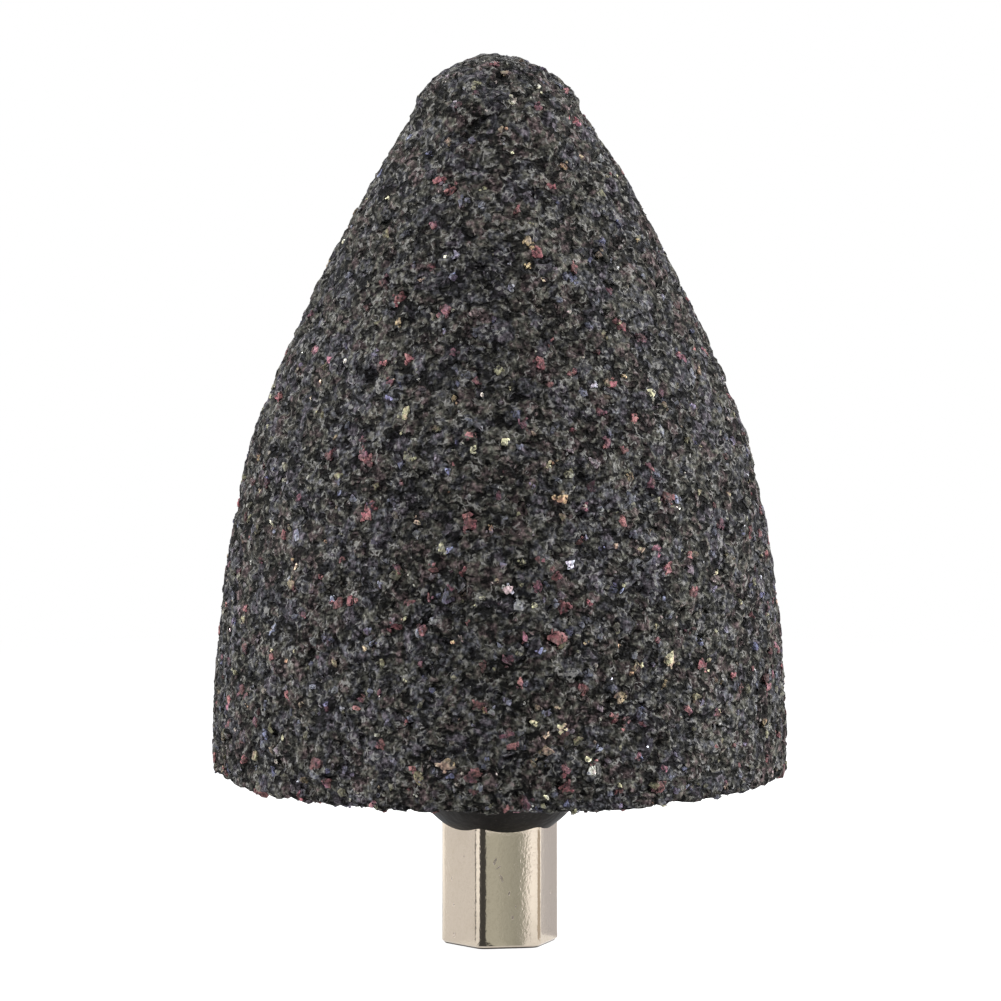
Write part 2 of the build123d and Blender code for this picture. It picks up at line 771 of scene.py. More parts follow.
def make_piece(
    name: str,
    corners: Array,
    triangles: Array,
    material: bpy.types.Material,
    smooth: bool,
) -> bpy.types.Object:
    """Makes one piece from arrays and lets it ride on the part.

    Args:
        name: the piece's name.
        corners: its vertices in millimetres.
        triangles: three vertex numbers per face, anticlockwise from outside.
        material: its finish.
        smooth: whether its faces are shaded smooth.

    Returns:
        The new object.
    """
    mesh = bpy.data.meshes.new(name)
    mesh.vertices.add(len(corners))
    mesh.vertices.foreach_set("co", (corners * MM).astype(np.float32).ravel())
    mesh.loops.add(triangles.size)
    mesh.loops.foreach_set("vertex_index", triangles.astype(np.int32).ravel())
    mesh.polygons.add(len(triangles))
    mesh.polygons.foreach_set("loop_start", np.arange(0, triangles.size, 3, dtype=np.int32))
    mesh.update(calc_edges=True)
    mesh.validate()
    mesh.polygons.foreach_set("use_smooth", np.full(len(triangles), smooth))
    mesh.materials.append(material)
    piece = bpy.data.objects.new(name, mesh)
    bpy.context.scene.collection.objects.link(piece)
    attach(piece, "root")
    log.info("%s: %d triangles", name, len(triangles))
    return piece


def stitch(rings: Sequence[Array]) -> Array:
    """Joins rings of different counts into one closed skin.

    Args:
        rings: each ring's angles from 0 up, where a ring of one angle is a point.

    Returns:
        Three vertex numbers per triangle, anticlockwise from outside.
    """
    triangles = []
    start = 0
    for low, high in zip(rings, rings[1:]):
        n, m = len(low), len(high)
        low_next = np.append(low[1:], TAU) if n > 1 else np.empty(0)
        high_next = np.append(high[1:], TAU) if m > 1 else np.empty(0)
        order = np.argsort(np.concatenate([low_next, high_next]), kind="stable")
        is_low = order < len(low_next)
        i = np.cumsum(is_low) - is_low
        j = np.cumsum(~is_low) - ~is_low
        third = np.where(is_low, (i + 1) % n, n + (j + 1) % m)
        faces = np.stack([i % n, third, n + j % m], axis=1)
        triangles.append(faces + start)
        start += n
    return np.concatenate(triangles)


def ring_points(angle: Array, radius: Union[float, Array], height: float) -> Array:
    """Points of one ring round the axis."""
    level = np.full(len(angle), height)
    return np.stack([radius * np.cos(angle), radius * np.sin(angle), level], axis=1)


def pole(height: float) -> Array:
    """One point on the axis, as a ring of its own."""
    return np.array([[0.0, 0.0, height]])


def make_turned(
    name: str, rings: Sequence[Array], angle: Array, material: bpy.types.Material
) -> bpy.types.Object:
    """Makes one smooth piece from rings that share their angles, with a pole at each end.

    Args:
        name: the piece's name.
        rings: each ring's points.
        angle: the rings' angles.
        material: its finish.

    Returns:
        The new object.
    """
    angles = [angle if len(ring) > 1 else np.zeros(1) for ring in rings]
    return make_piece(name, np.concatenate(rings), stitch(angles), material, True)


def store(piece: bpy.types.Object, name: str, values: Array) -> None:
    """Stores one number per vertex in a piece, for its finish."""
    layer = piece.data.attributes.new(name, "FLOAT", "POINT")
    layer.data.foreach_set("value", values.astype(np.float32))


def set_map(piece: bpy.types.Object, places: Array) -> None:
    """Gives a piece a map for its finish, named OFBake.

    Args:
        piece: the piece.
        places: one place from 0 to 1 per face corner.
    """
    layer = piece.data.uv_layers.new(name="OFBake")
    layer.data.foreach_set("uv", places.astype(np.float32).ravel())


def map_apart(piece: bpy.types.Object) -> None:
    """Gives each pair of a piece's triangles a small square of its own in the map.

    Args:
        piece: the piece.
    """
    count = len(piece.data.polygons)
    side = math.ceil(math.sqrt((count + 1) // 2))
    number = np.arange(count) // 2
    near, far = 0.08, 0.8
    first = np.array([[near, near], [far, near], [near, far]])
    half = np.where((np.arange(count) % 2 == 0)[:, None, None], first, 1 - first)
    square = np.stack([number % side, number // side], axis=1)
    set_map(piece, (square[:, None] + half) / side)


def map_round(piece: bpy.types.Object, rings: Sequence[Array]) -> None:
    """Unrolls a piece made of rings, with its seam at the angle 0.

    Args:
        piece: the piece, whose vertices follow the rings.
        rings: each ring's angles, where a ring of one angle is a point.
    """
    mesh = piece.data
    corners = np.empty(len(mesh.loops), dtype=np.int32)
    mesh.loops.foreach_get("vertex_index", corners)
    corners = corners.reshape(-1, 3)
    turn = np.concatenate(rings) / TAU
    level = np.repeat(np.arange(len(rings)) / (len(rings) - 1), [len(ring) for ring in rings])
    across, up = turn[corners], level[corners]
    wraps = (across.max(axis=1) - across.min(axis=1) > 0.5)[:, None]
    across = across + (wraps & (across < 0.5))
    poles = (up == 0) | (up == 1)
    middle = (across * ~poles).sum(axis=1) / np.maximum(1, (~poles).sum(axis=1))
    across = np.where(poles, middle[:, None], across)
    set_map(piece, np.stack([across, up], axis=2))


# The cone's form


class Trace:
    """A section's outline, drawn as tangent lines and arcs from a heading."""

    def __init__(self, radius: float, height: float, lean: float, step: float) -> None:
        """Starts the outline.

        Args:
            radius: the start's distance from the axis.
            height: the start's height.
            lean: the heading's lean from +Z towards the axis, in radians.
            step: the spacing of its points.
        """
        self.at = np.array([radius, height])
        self.lean = lean
        self.step = step
        self.points = [self.at[None]]

    def line(self, length: float) -> None:
        """Draws straight on.

        Args:
            length: how far.
        """
        count = max(2, round(length / self.step))
        way = np.array([-math.sin(self.lean), math.cos(self.lean)])
        run = self.at + np.linspace(0, length, count + 1)[1:, None] * way
        self.points.append(run)
        self.at = run[-1]

    def arc(self, radius: float, turn: float) -> None:
        """Draws an arc that leans further towards the axis.

        Args:
            radius: the arc's radius.
            turn: how far the heading turns, in radians.
        """
        count = max(3, round(abs(radius * turn) / self.step))
        lean = self.lean + np.linspace(0, turn, count + 1)[1:]
        across = np.cos(lean) - math.cos(self.lean)
        up = np.sin(lean) - math.sin(self.lean)
        run = self.at + radius * np.stack([across, up], axis=1)
        self.points.append(run)
        self.at = run[-1]
        self.lean += turn

    def arc_to(self, radius: float, height: float) -> None:
        """Draws one tangent arc to a point.

        Args:
            radius: the point's distance from the axis.
            height: the point's height.
        """
        across, up = self.at[0] - radius, height - self.at[1]
        turn = 2 * (math.atan2(across, up) - self.lean)
        self.arc(math.hypot(across, up) / (2 * math.sin(turn / 2)), turn)


@dataclass
class ConeForm:
    """The cone's smooth form, as its section from the drilled bore round to the tip."""

    base_height: float
    tip_height: float
    radius: float
    bore_radius: float
    bore_depth: float
    bore_point: float
    edge_radius: float = 0.42
    land_height: float = 1.0
    belly_radius: float = 82.0
    belly_turn: float = math.radians(12)
    bend_radius: float = 28.0
    bend_turn: float = math.radians(10)
    flank_radius: float = 125.0
    flank_turn: float = math.radians(5)
    nose_radius: float = 5.15
    dome_rise: float = 2.8
    nose_land: float = 0.6
    blend: float = 0.22
    margin: float = 0.01
    step: float = 0.03
    outline: Array = field(init=False)
    run: Array = field(init=False)
    lean: Array = field(init=False)

    def __post_init__(self) -> None:
        """Draws the outline and measures along it."""
        trace = Trace(self.bore_radius, self.base_height, -math.pi / 2, self.step)
        trace.line(self.radius - self.edge_radius - self.bore_radius)
        trace.arc(self.edge_radius, math.pi / 2)
        trace.line(self.land_height - self.edge_radius)
        trace.arc(self.belly_radius, self.belly_turn)
        trace.arc(self.bend_radius, self.bend_turn)
        trace.arc(self.flank_radius, self.flank_turn)
        shoulder = self.tip_height - self.dome_rise
        trace.arc_to(self.nose_radius, shoulder - self.nose_land)
        trace.lean = 0.0
        trace.line(self.nose_land)
        ball = (self.nose_radius**2 + self.dome_rise**2) / (2 * self.dome_rise)
        reach = math.asin(self.nose_radius / ball)
        trace.lean = math.pi / 2 - reach
        trace.arc(ball, reach)
        points = np.concatenate(trace.points)
        self.outline = self._soften(points)
        steps = np.hypot(*np.diff(self.outline, axis=0).T)
        self.run = np.append(0, np.cumsum(steps))
        slope = np.gradient(self.outline, self.run, axis=0)
        self.lean = np.arctan2(-slope[:, 0], slope[:, 1])

    def _soften(self, points: Array) -> Array:
        """Rounds the corners at the nose.

        Args:
            points: the outline.

        Returns:
            The outline, with its ends in place.
        """
        reach = round(self.blend / self.step)
        weights = np.hanning(2 * reach + 3)[1:-1]
        weights /= weights.sum()
        padded = np.concatenate([
            2 * points[0] - points[reach:0:-1], points, 2 * points[-1] - points[-2:-reach - 2:-1]
        ])
        soft = np.stack([np.convolve(axis, weights, "valid") for axis in padded.T], axis=1)
        soft[:, 0] = soft[:, 0].clip(0, self.radius)
        soft[-1] = points[-1]
        return soft

    @property
    def length(self) -> float:
        """The outline's whole length."""
        return float(self.run[-1])

    def at(self, run: Union[float, Array]) -> tuple[Array, Array, Array]:
        """Reads the outline.

        Args:
            run: distances along it.

        Returns:
            Its radius, height and lean there.
        """
        radius = np.interp(run, self.run, self.outline[:, 0])
        height = np.interp(run, self.run, self.outline[:, 1])
        return radius, height, np.interp(run, self.run, self.lean)

    def places(self, run: Array, angle: Array) -> tuple[Array, Array]:
        """Points and outward normals of the smooth form.

        Args:
            run: distances along the outline.
            angle: angles round the axis.

        Returns:
            The points and the normals, one row each.
        """
        radius, height, lean = self.at(run)
        c, s = np.cos(angle), np.sin(angle)
        points = np.stack([radius * c, radius * s, height], axis=1)
        out = np.cos(lean)
        normals = np.stack([out * c, out * s, np.sin(lean)], axis=1)
        return points, normals

    def outer_run(self, height: float) -> float:
        """The distance along the outline at a height of the outside."""
        outer = self.run > self.radius - self.bore_radius
        return float(np.interp(height, self.outline[outer, 1], self.run[outer]))

    def outer_radius(self, height: float) -> float:
        """The outside's radius at a height."""
        return max(0.01, float(self.at(self.outer_run(height))[0]))

    def pressed(self, points: Array, most: float, softness: float) -> Array:
        """Presses in, softly, what stands out of the smooth form.

        Args:
            points: any points near the outside.
            most: the height above the form that none of them passes.
            softness: how far below that height the pressing starts.

        Returns:
            The points, pressed in along the form's normal.
        """
        outer = self.run > self.radius - self.bore_radius
        run = np.interp(points[:, 2], self.outline[outer, 1], self.run[outer])
        radius, _, lean = self.at(run)
        reach = np.maximum(np.hypot(points[:, 0], points[:, 1]), TINY)
        above = np.maximum((reach - radius) * np.cos(lean) - most + softness, 0)
        back = above - softness * np.tanh(above / softness)
        inward = (reach - back * np.cos(lean)) / reach
        return np.stack([
            points[:, 0] * inward, points[:, 1] * inward, points[:, 2] - back * np.sin(lean)
        ], axis=1)

    def kept_inside(self, points: Array) -> Array:
        """Presses in what would stand out of the cone's greatest width or height.

        Args:
            points: any points.

        Returns:
            The points, all inside those limits.
        """
        reach = np.maximum(np.hypot(points[:, 0], points[:, 1]), TINY)
        inward = np.minimum(1, (self.radius - self.margin) / reach)
        height = np.minimum(points[:, 2], self.tip_height - self.margin)
        return np.stack([points[:, 0] * inward, points[:, 1] * inward, height], axis=1)

    def outside(self, angle: float, height: float) -> Array:
        """A point of the outside at an angle and a height."""
        radius = self.outer_radius(height)
        return np.array([radius * math.cos(angle), radius * math.sin(angle), height])


@dataclass(frozen=True)
class Dent:
    """One hollow in the cone's outside, soft at its edge."""

    angle: float
    height: float
    radius: float
    depth: float


def noise_at(points: Array, size: float, shift: Sequence[float] = (0.0, 0.0, 0.0)) -> Array:
    """Reads soft noise around 0.

    Args:
        points: where.
        size: the width of its features.
        shift: how far aside of the points it is read.

    Returns:
        One value per point.
    """
    aside = Vector(shift)
    return np.array([noise.noise((Vector(point) + aside) / size) for point in points.tolist()])


@dataclass
class Relief:
    """How far the rough surface lies from the smooth form.

    It has swells and waves, clumps with seams between them, lumps, pores and dents. The two keys
    turn a clump's middle into its own random numbers, and the shift keeps pores clear of waves.
    """

    clump_size: float = 1.1
    seam_width: float = 0.24
    seam: float = 0.22
    clump_step: float = 0.06
    tone_key: float = 37.0
    cast_key: float = 53.0
    sink: float = 0.09
    swell_size: float = 5.0
    swell: float = 0.05
    wave_size: float = 1.9
    wave: float = 0.09
    lump_size: float = 0.62
    lump: float = 0.13
    lump_level: float = 0.55
    pore_shift: tuple[float, float, float] = (37.0, 11.0, 5.0)
    pore_size: float = 0.95
    pore: float = 0.9
    pore_limit: float = 0.22
    most_pore: float = 0.36
    drift_size: float = 3.5
    drift_tone: float = 0.16
    clump_tone: float = 0.11
    # Painted shade in the seams between clumps.
    painted_seam_shade: float = 0.36
    dents: tuple[Dent, ...] = (
        Dent(angle=186.6, height=0.1, radius=0.55, depth=0.3),
        Dent(angle=-14.0, height=42.0, radius=3.0, depth=0.3),
        Dent(angle=-42.0, height=43.6, radius=2.6, depth=0.2),
    )

    def heights(self, points: Array, normals: Array, form: "ConeForm") -> Array:
        """The surface's distance outward from the smooth form.

        Args:
            points: points of the smooth form.
            normals: its outward normals there.
            form: the smooth form.

        Returns:
            One distance per point.
        """
        lumps = [noise.voronoi(Vector(point) / self.lump_size)[0] for point in points.tolist()]
        lump = self.lump_level - np.array(lumps)[:, 0]
        swell, wave = noise_at(points, self.swell_size), noise_at(points, self.wave_size)
        pore = noise_at(points, self.pore_size, self.pore_shift)
        seam, step, _ = self.clumps(points)
        found = swell * self.swell + wave * self.wave + lump * self.lump
        found += step * self.clump_step - seam**2 * self.seam
        found -= np.clip((pore - self.pore_limit) * self.pore, 0, self.most_pore)
        for dent in self.dents:
            centre = form.outside(math.radians(dent.angle), form.base_height + dent.height)
            away = np.linalg.norm(points - centre, axis=1) / dent.radius
            found -= dent.depth * np.exp(-away**2)
        return found - self.sink * np.clip(1 + normals[:, 2], 0, 1)

    def clumps(self, points: Array) -> tuple[Array, Array, Array]:
        """The clumps that the grains are gathered in.

        Args:
            points: points of the smooth form.

        Returns:
            How near a seam between clumps each point is, from 0 to 1, and two numbers of its own
            clump, from -1 to 1 at random.
        """
        found = [noise.voronoi(Vector(point) / self.clump_size) for point in points.tolist()]
        gap = np.array([away[1] - away[0] for away, _ in found])
        first = np.array([noise.cell(middles[0] * self.tone_key) for _, middles in found])
        second = np.array([noise.cell(middles[0] * self.cast_key) for _, middles in found])
        return 1 - np.clip(gap / self.seam_width, 0, 1), first, second

    def shades(self, points: Array) -> tuple[Array, Array]:
        """Works out the tones laid on the clumps: a random tone for each one, a slow random drift,
        and painted shade in the seams between them.

        Args:
            points: points of the smooth form.

        Returns:
            The tone to add and the cast's share, one each per point.
        """
        seam, tone, cast = self.clumps(points)
        drift = noise_at(points, self.drift_size)
        # Painted shade darkens the seams, where the relief sinks.
        added = tone * self.clump_tone + drift * self.drift_tone - seam * self.painted_seam_shade
        return added, cast * 0.5 + 0.5


@dataclass
class AbrasiveSkin:
    """The bonded body of the cone as one closed skin with relief."""

    form: ConeForm
    relief: Relief
    finish: BondFinish = field(default_factory=BondFinish)
    spacing: float = 0.24
    base_spacing: float = 0.32
    bore_spacing: float = 1.6
    jitter: float = 0.24
    least_in_ring: int = 7
    seed: int = 11

    def build(self) -> bpy.types.Object:
        """Makes the skin, which stands for the plain cone.

        Returns:
            The new piece.
        """
        rng = np.random.default_rng(self.seed)
        form = self.form
        rings, corners = [np.zeros(1)], [pole(form.bore_point)]
        for height in np.arange(form.bore_depth, form.base_height, -self.bore_spacing):
            angle = self._angles(form.bore_radius, self.bore_spacing, rng, 0.0)
            rings.append(angle)
            corners.append(ring_points(angle, form.bore_radius, height))
        edge_run = form.radius - form.bore_radius
        base_runs = np.arange(0.0, edge_run, self.base_spacing)
        outer_runs = np.arange(edge_run, form.length - self.spacing / 2, self.spacing)
        runs, angles = [], []
        for run in np.concatenate([base_runs, outer_runs]):
            gap = self.base_spacing if run < edge_run else self.spacing
            angle = self._angles(float(form.at(run)[0]), gap, rng, self.jitter)
            wander = rng.uniform(-self.jitter, self.jitter, len(angle)) * gap
            runs.append(np.clip(run + wander, 0, form.length))
            angles.append(angle)
        points, normals = form.places(np.concatenate(runs), np.concatenate(angles))
        height = self.relief.heights(points, normals, form)
        corners.append(points + normals * height[:, None])
        corners.append(pole(form.tip_height - self.relief.sink))
        rings += [*angles, np.zeros(1)]
        skin = form.kept_inside(np.concatenate(corners))
        material = self.finish.material()
        piece = make_piece("abrasive_body", skin, stitch(rings), material, True)
        # The tones carry painted shade in the clumps' seams.
        tone, cast = self.relief.shades(skin)
        store(piece, self.finish.tone_name, 0.5 + tone)
        store(piece, self.finish.tints.share_name, cast)
        map_round(piece, rings)
        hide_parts("abrasive_cone")
        return piece

    def _angles(self, radius: float, gap: float, rng: np.random.Generator, jitter: float) -> Array:
        """A ring's angles from 0 up.

        Args:
            radius: the ring's radius.
            gap: the wanted spacing along it.
            rng: the source of chance.
            jitter: how far each may move, as a share of the spacing.

        Returns:
            The angles, of which the first is 0.
        """
        count = max(self.least_in_ring, round(TAU * radius / gap))
        shift = rng.uniform(-jitter, jitter, count)
        shift[0] = 0.0
        return (np.arange(count) + shift) * TAU / count


# Grains

BED_START = 1.6  # how far from the bore's mouth the first row of grains lies
BED_EDGE = 1.2  # how near to the mouth a grain of that row may wander
ROW_SPACING = 0.87  # the rows' distance, as a share of the grains' spacing
ROW_WANDER = 0.4  # how far a grain leaves its place, as a share of the spacing


@dataclass
class ShardStock:
    """A stock of convex splinters, from which each grain is a turned and scaled copy."""

    least_corners: int
    most_corners: int
    corner_shift: float = 0.28
    least_reach: float = 0.85
    most_reach: float = 1.12
    kinds: int = 40
    seed: int = 5
    shapes: list[tuple[Array, Array]] = field(init=False)

    def __post_init__(self) -> None:
        """Cuts the stock."""
        rng = np.random.default_rng(self.seed)
        self.shapes = [self._cut(rng) for _ in range(self.kinds)]

    def _cut(self, rng: np.random.Generator) -> tuple[Array, Array]:
        """Cuts one splinter.

        Args:
            rng: the source of chance.

        Returns:
            Its corners, about one unit from its middle, and its triangles.
        """
        count = int(rng.integers(self.least_corners, self.most_corners + 1))
        turn = np.arange(count) * math.pi * (3 - math.sqrt(5))
        level = 1 - (2 * np.arange(count) + 1) / count
        across = np.sqrt(1 - level**2)
        spots = np.stack([across * np.cos(turn), across * np.sin(turn), level], axis=1)
        spots += rng.normal(0, self.corner_shift, spots.shape)
        reach = rng.uniform(self.least_reach, self.most_reach, count)
        spots *= (reach / np.linalg.norm(spots, axis=1))[:, None]
        shape = bmesh.new()
        for spot in spots:
            shape.verts.new(spot)
        bmesh.ops.convex_hull(shape, input=shape.verts)
        bmesh.ops.delete(shape, geom=[v for v in shape.verts if not v.link_faces], context="VERTS")
        bmesh.ops.triangulate(shape, faces=shape.faces)
        bmesh.ops.recalc_face_normals(shape, faces=shape.faces)
        shape.verts.index_update()
        corners = np.array([v.co[:] for v in shape.verts])
        triangles = np.array([[v.index for v in face.verts] for face in shape.faces])
        shape.free()
        return corners, triangles


@dataclass
class GrainBed:
    """Where grains lie on the cone, one entry each."""

    run: Array
    angle: Array
    size: Array
    tone: Array
    rise: Array
    tilt: Array

    def kept(self, mask: Array) -> "GrainBed":
        """The grains that a mask keeps."""
        return GrainBed(*(values[mask] for values in vars(self).values()))

    @staticmethod
    def joined(beds: Sequence["GrainBed"]) -> "GrainBed":
        """Several beds as one."""
        columns = zip(*(vars(bed).values() for bed in beds))
        return GrainBed(*(np.concatenate(values) for values in columns))

    @staticmethod
    def cover(form: ConeForm, spacing: float, rng: np.random.Generator) -> tuple[Array, Array]:
        """Spreads places evenly over the whole outside, in rows that wander.

        Args:
            form: the cone's form.
            spacing: the grains' spacing.
            rng: the source of chance.

        Returns:
            Their distances along the outline and their angles.
        """
        runs, angles = [], []
        for run in np.arange(BED_START, form.length - spacing / 3, spacing * ROW_SPACING):
            count = max(3, round(TAU * float(form.at(run)[0]) / spacing))
            start = rng.uniform(0, 1)
            shift = rng.uniform(-ROW_WANDER, ROW_WANDER, count)
            angles.append((np.arange(count) + start + shift) * TAU / count)
            runs.append(run + rng.uniform(-ROW_WANDER, ROW_WANDER, count) * spacing)
        return np.concatenate(runs).clip(BED_EDGE, form.length), np.concatenate(angles)


@dataclass
class GrainCloud:
    """Many grains of one kind, bedded in the skin, as one piece."""

    name: str
    finish: GrainFinish
    form: ConeForm
    relief: Relief
    stock: ShardStock
    bedding: float
    slimness: float = 0.7
    slimness_spread: tuple[float, float] = (-0.2, 0.2)
    flatness: float = 0.6
    flatness_spread: tuple[float, float] = (-0.18, 0.2)
    clump_share: float = 1.0
    cast_spread: float = 0.12
    most_height: float = 0.0
    press_softness: float = 0.13

    def build(self, bed: GrainBed, rng: np.random.Generator) -> bpy.types.Object:
        """Makes the piece.

        Args:
            bed: where its grains lie.
            rng: the source of chance.

        Returns:
            The new piece.
        """
        points, normals = self.form.places(bed.run, bed.angle)
        height = self.relief.heights(points, normals, self.form)
        height += bed.rise - self.bedding * bed.size / 2
        middle = points + normals * height[:, None]
        turns = self._turns(normals, bed.tilt, rng)
        count = len(middle)
        shares = [
            np.ones(count),
            self.slimness + rng.uniform(*self.slimness_spread, count),
            self.flatness + rng.uniform(*self.flatness_spread, count),
        ]
        scale = np.stack(shares, axis=1) * bed.size[:, None] / 2
        kind = rng.integers(0, len(self.stock.shapes), count)
        # The clumps' tones, with painted shade in their seams.
        tone, cast = self.relief.shades(points)
        tone = np.clip(bed.tone + tone * self.clump_share, 0, 1)
        cast = np.clip(cast + rng.uniform(-self.cast_spread, self.cast_spread, count), 0, 1)
        corners, triangles, tones, casts = [], [], [], []
        start = 0
        for number, (shape, faces) in enumerate(self.stock.shapes):
            mine = np.flatnonzero(kind == number)
            scaled = shape[None] * scale[mine][:, None]
            placed = np.einsum("gij,gkj->gki", turns[mine], scaled) + middle[mine][:, None]
            corners.append(placed.reshape(-1, 3))
            offset = start + np.arange(len(mine)) * len(shape)
            triangles.append((faces[None] + offset[:, None, None]).reshape(-1, 3))
            tones.append(np.repeat(tone[mine], len(shape)))
            casts.append(np.repeat(cast[mine], len(shape)))
            start += len(mine) * len(shape)
        pressed = self.form.pressed(
            np.concatenate(corners), self.most_height, self.press_softness
        )
        cloud = self.form.kept_inside(pressed)
        faces = np.concatenate(triangles)
        piece = make_piece(self.name, cloud, faces, self.finish.material(), False)
        store(piece, self.finish.tone_name, np.concatenate(tones))
        store(piece, self.finish.tints.share_name, np.concatenate(casts))
        map_apart(piece)
        return piece

    @staticmethod
    def _turns(normals: Array, tilt: Array, rng: np.random.Generator) -> Array:
        """Turns that lay grains on the surface, more or less flat.

        Args:
            normals: the surface's normals.
            tilt: how far each grain is tumbled, where 0 lies flat.
            rng: the source of chance.

        Returns:
            One rotation matrix each.
        """
        up = normals + rng.normal(size=normals.shape) * tilt[:, None]
        up /= np.linalg.norm(up, axis=1)[:, None]
        side = np.cross(up, rng.normal(size=up.shape))
        side /= np.linalg.norm(side, axis=1)[:, None]
        return np.stack([side, np.cross(up, side), up], axis=2)


class Grit(Enum):
    """The kinds of coloured grain among the dark ones."""

    GARNET = "garnet"
    OCHRE = "ochre"
    CREAM = "cream"
    WHITE = "white"
    INDIGO = "indigo"
    OLIVE = "olive"
    SLATE = "slate"


@dataclass(frozen=True)
class GritKind:
    """How often, how large and in what colours one kind of coloured grain shows.

    The count is per square millimetre, and the colours run from the darkest to the palest.
    """

    per_area: float
    least: float
    most: float
    colours: tuple[Colour, ...]


GRITS: dict[Grit, GritKind] = {
    Grit.GARNET: GritKind(
        0.120, 0.45, 1.30,
        ((0.018, 0.011, 0.012), (0.044, 0.022, 0.025), (0.086, 0.040, 0.046), (0.15, 0.075, 0.083)),
    ),
    Grit.OCHRE: GritKind(
        0.035, 0.3, 0.85,
        ((0.026, 0.021, 0.015), (0.072, 0.056, 0.038), (0.155, 0.120, 0.080), (0.38, 0.31, 0.215)),
    ),
    Grit.CREAM: GritKind(
        0.070, 0.25, 0.60,
        ((0.045, 0.044, 0.034), (0.11, 0.107, 0.080), (0.23, 0.22, 0.165), (0.55, 0.535, 0.42)),
    ),
    Grit.WHITE: GritKind(
        0.050, 0.16, 0.40,
        ((0.055, 0.055, 0.055), (0.12, 0.12, 0.12), (0.24, 0.24, 0.245), (0.62, 0.62, 0.625)),
    ),
    Grit.INDIGO: GritKind(
        0.085, 0.40, 0.9,
        ((0.013, 0.013, 0.019), (0.029, 0.03, 0.045), (0.056, 0.059, 0.088), (0.115, 0.125, 0.175)),
    ),
    Grit.OLIVE: GritKind(
        0.085, 0.45, 1.10,
        ((0.019, 0.0185, 0.014), (0.043, 0.041, 0.030), (0.082, 0.079, 0.057), (0.17, 0.165, 0.12)),
    ),
    Grit.SLATE: GritKind(
        0.160, 0.5, 1.0,
        ((0.012, 0.012, 0.014), (0.030, 0.031, 0.037), (0.060, 0.062, 0.072), (0.12, 0.12, 0.13)),
    ),
}


@dataclass(frozen=True)
class Accent:
    """One grain that stands out from the front.

    It is measured as seen there, to the right of the axis and up from the base's middle.
    """

    right: float
    up: float
    width: float


ACCENTS: dict[Grit, tuple[Accent, ...]] = {
    Grit.GARNET: (
        Accent(2.4, 31.5, 1.0), Accent(2.5, 24.8, 0.95), Accent(3.1, 23.5, 0.6),
        Accent(7.1, 27.3, 0.6), Accent(7.6, 27.0, 0.7), Accent(6.6, 20.0, 0.85),
        Accent(-1.9, 15.0, 1.05), Accent(3.8, 9.9, 1.0), Accent(3.6, 8.1, 1.2),
        Accent(-1.5, -0.2, 0.9), Accent(7.8, 2.9, 1.1), Accent(-8.0, 16.0, 0.9),
        Accent(-8.3, 19.2, 0.9), Accent(-3.3, 28.0, 0.9), Accent(-9.9, 10.1, 1.0),
        Accent(-11.2, 0.5, 1.0), Accent(-15.8, 4.9, 0.9), Accent(16.4, 5.1, 0.9),
        Accent(0.4, 6.7, 0.9), Accent(9.3, 17.6, 0.9), Accent(9.6, 13.5, 0.8),
        Accent(-4.4, 10.6, 0.6), Accent(2.3, 11.2, 0.8), Accent(0.4, -2.4, 0.6),
    ),
    Grit.OCHRE: (
        Accent(0.1, 39.0, 0.6), Accent(-3.2, 38.3, 0.55), Accent(1.7, 32.2, 0.95),
        Accent(3.8, 16.5, 0.85), Accent(2.9, 1.2, 0.9), Accent(-3.3, 0.3, 1.1),
        Accent(7.4, 4.6, 0.9), Accent(-6.2, 27.3, 0.5),
    ),
    Grit.CREAM: (
        Accent(0.9, 40.9, 0.65), Accent(2.7, 41.6, 0.6), Accent(9.3, 23.0, 0.7),
        Accent(0.3, 20.0, 0.55), Accent(3.7, 2.6, 0.9), Accent(10.4, 6.8, 1.1),
        Accent(2.1, 2.9, 0.5), Accent(2.9, 2.1, 0.5), Accent(-14.1, 14.8, 0.7),
        Accent(-5.1, 15.1, 0.55), Accent(-1.6, 19.6, 0.6), Accent(3.1, 18.8, 0.55),
    ),
    Grit.WHITE: (
        Accent(5.8, 23.4, 0.65), Accent(4.3, 12.6, 0.65), Accent(0.4, 10.9, 0.8),
        Accent(5.7, -0.1, 0.7), Accent(1.9, -2.4, 0.45), Accent(4.3, 27.9, 0.5),
    ),
    Grit.INDIGO: (
        Accent(-1.7, 38.3, 0.5), Accent(-2.4, 34.6, 0.7), Accent(4.3, 29.9, 0.8),
        Accent(7.1, 10.9, 0.8), Accent(-3.3, 10.5, 0.9), Accent(-0.6, 0.8, 0.6),
        Accent(4.1, -2.1, 0.6),
    ),
    Grit.OLIVE: (
        Accent(-5.0, -0.5, 1.0),
    ),
}


